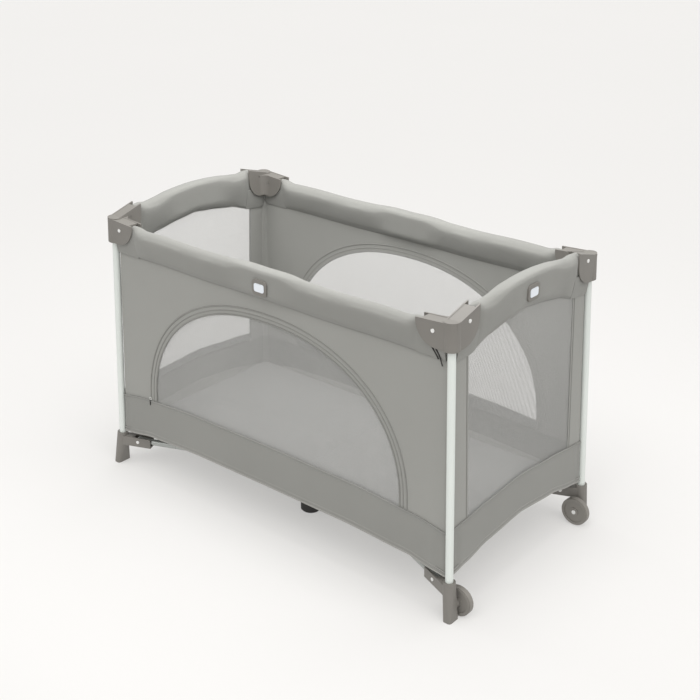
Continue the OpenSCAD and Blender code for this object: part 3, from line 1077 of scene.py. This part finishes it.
def add_floor():
    whole = mat_object("mat_whole")

    def mat_cap(point):
        near = min(point.x, point.y, mat_hi.x - point.x, mat_hi.y - point.y)
        return 0.004 * ramp(near, 0.002, 0.05) * (0.4 if point.z < 0.14 else 1.0)

    soften(whole, MAT_VOXEL, mat_cap, frames=16, pressure=3.0)
    cut_flat(whole, 0.0003)
    rows = floor_rows()
    for right, sx in SIDES:
        for back, sy in DEPTHS:
            name = f"floor_cloth_{back}_{right}"
            ground = sheet_object(name, mirrored_rows(rows, sx, sy), "floor", PANEL_T)
            flatten_floor(ground, right, back)
            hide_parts("floor_sheet")
            pad = bpy.data.objects.new(f"mat_pad_{back}_{right}", whole.data.copy())
            bpy.context.scene.collection.objects.link(pad)
            for v in pad.data.vertices:
                v.co = Vector((v.co.x * sx, v.co.y * sy, v.co.z))
            if sx * sy < 0:
                pad.data.flip_normals()
            flatten_floor(pad, right, back)
            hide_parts(f"mat_{back}_{right}")
    bpy.data.objects.remove(whole)


# ---------------------------------------------------------------- CAD parts get materials

CAD_MATERIAL = [
    ("post_", "post"), ("cap_", "plastic"), ("foot_", "plastic"), ("rivets_", "rivet"),
    ("wheel_", "wheel"), ("rail_", "rail"), ("latch_", "plastic"), ("button_", "button"),
    ("base_tube_", "rail"), ("hub_feet", "rubber"), ("hub", "plastic"),
]
EDGE_ROUNDING = 0.0017
# how near a face must be to a pin's axis to belong to that pin
PIN_REACH = 0.006


def dress_cad():
    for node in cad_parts:
        obj = bpy.data.objects.get(node)
        if obj is None:
            continue
        for start, material in CAD_MATERIAL:
            if node.startswith(start):
                obj.data.materials.clear()
                obj.data.materials.append(MATERIAL[material])
                if material in ("plastic", "wheel", "button"):
                    bevel = obj.modifiers.new("bevel", "BEVEL")
                    bevel.width = EDGE_ROUNDING
                    bevel.segments = 3
                    bevel.limit_method = "ANGLE"
                    bevel.angle_limit = math.radians(35)
                    bevel.use_clamp_overlap = True
                break
        if node.startswith("rivets"):
            hide_inner_ends(obj)


def hide_inner_ends(obj):
    """The inner ends of the two cap pins are capped in grey."""
    obj.data.materials.append(MATERIAL["plastic"])
    for polygon in obj.data.polygons:
        at = polygon.center
        of_long = abs(abs(at.x) - LONG_PIN.x) < PIN_REACH and abs(at.y) < abs(LONG_Y)
        of_end = abs(abs(at.y) - END_PIN.y) < PIN_REACH and abs(at.x) < abs(END_X)
        if at.z > LONG_PIN.z - 0.02 and (of_long or of_end):
            polygon.material_index = 1


# ---------------------------------------------------------------- floor, light and camera

def add_stage():
    size = 30.0
    verts = [(-size, -size, 0), (size, -size, 0), (size, size, 0), (-size, size, 0)]
    mesh = bpy.data.meshes.new("ground")
    mesh.from_pydata(verts, [], [(0, 1, 2, 3)])
    ground = bpy.data.objects.new("ground", mesh)
    bpy.context.scene.collection.objects.link(ground)
    n = Nodes("ground")
    tint = n.noise(0.8, 1.0)
    n.link(n.mix(tint, srgb(176, 175, 174), srgb(178, 177, 176)), n.shader.inputs["Base Color"])
    n.shader.inputs["Emission Color"].default_value = srgb(247, 246, 244)
    n.shader.inputs["Emission Strength"].default_value = 0.42
    n.shader.inputs["Specular IOR Level"].default_value = 0.1
    n.shader.inputs["Roughness"].default_value = 0.9
    mesh.materials.append(n.material)


# name, turn from -Y, height in degrees and strength of each soft light
LIGHTS = [("key", 10, 50, 1.1), ("fill", 85, 48, 0.85)]
LIGHT_SPREAD = math.radians(50)
# length, width, height and power of the soft box over the cot
OVERHEAD = (1.5, 0.9, 1.55, 14.0)
SKY_STRENGTH = 0.66


def add_light():
    world = bpy.data.worlds.new("studio")
    bpy.context.scene.world = world
    world.use_nodes = True
    background = world.node_tree.nodes["Background"]
    background.inputs["Color"].default_value = (1.0, 0.995, 0.985, 1)
    background.inputs["Strength"].default_value = SKY_STRENGTH
    for name, turn, height, energy in LIGHTS:
        a, e = math.radians(turn), math.radians(height)
        toward = Vector((math.sin(a) * math.cos(e), -math.cos(a) * math.cos(e), math.sin(e)))
        sun = bpy.data.lights.new(name, "SUN")
        sun.energy = energy
        sun.angle = LIGHT_SPREAD
        sun.color = (1.0, 0.99, 0.975)
        lamp = bpy.data.objects.new(name, sun)
        lamp.rotation_euler = toward.to_track_quat("Z", "Y").to_euler()
        bpy.context.scene.collection.objects.link(lamp)
    length, width, height, power = OVERHEAD
    box_light = bpy.data.lights.new("overhead", "AREA")
    box_light.shape = "RECTANGLE"
    box_light.size = length
    box_light.size_y = width
    box_light.energy = power
    lamp = bpy.data.objects.new("overhead", box_light)
    lamp.location = (0, 0, height)
    bpy.context.scene.collection.objects.link(lamp)


CAMERA_AZIMUTH = 40.358
CAMERA_ELEVATION = 24.094
CAMERA_TARGET = (-0.0430, 0.0816, 0.4061)
CAMERA_DISTANCE = 3.587
CAMERA_LENS = 64.54


def add_camera():
    azimuth, elevation = math.radians(CAMERA_AZIMUTH), math.radians(CAMERA_ELEVATION)
    back = Vector((
        math.sin(azimuth) * math.cos(elevation),
        -math.cos(azimuth) * math.cos(elevation),
        math.sin(elevation),
    ))
    data = bpy.data.cameras.new("camera")
    data.sensor_width = 36.0
    data.lens = CAMERA_LENS
    camera = bpy.data.objects.new("camera", data)
    camera.location = Vector(CAMERA_TARGET) + back * CAMERA_DISTANCE
    camera.rotation_euler = back.to_track_quat("Z", "Y").to_euler()
    bpy.context.scene.collection.objects.link(camera)
    bpy.context.scene.camera = camera


bpy.context.scene.view_settings.view_transform = "Standard"
add_camera()
add_stage()
add_light()
dress_cad()
add_walls()
add_sleeves()
add_gussets()
add_straps()
add_zip_pull()
add_floor()
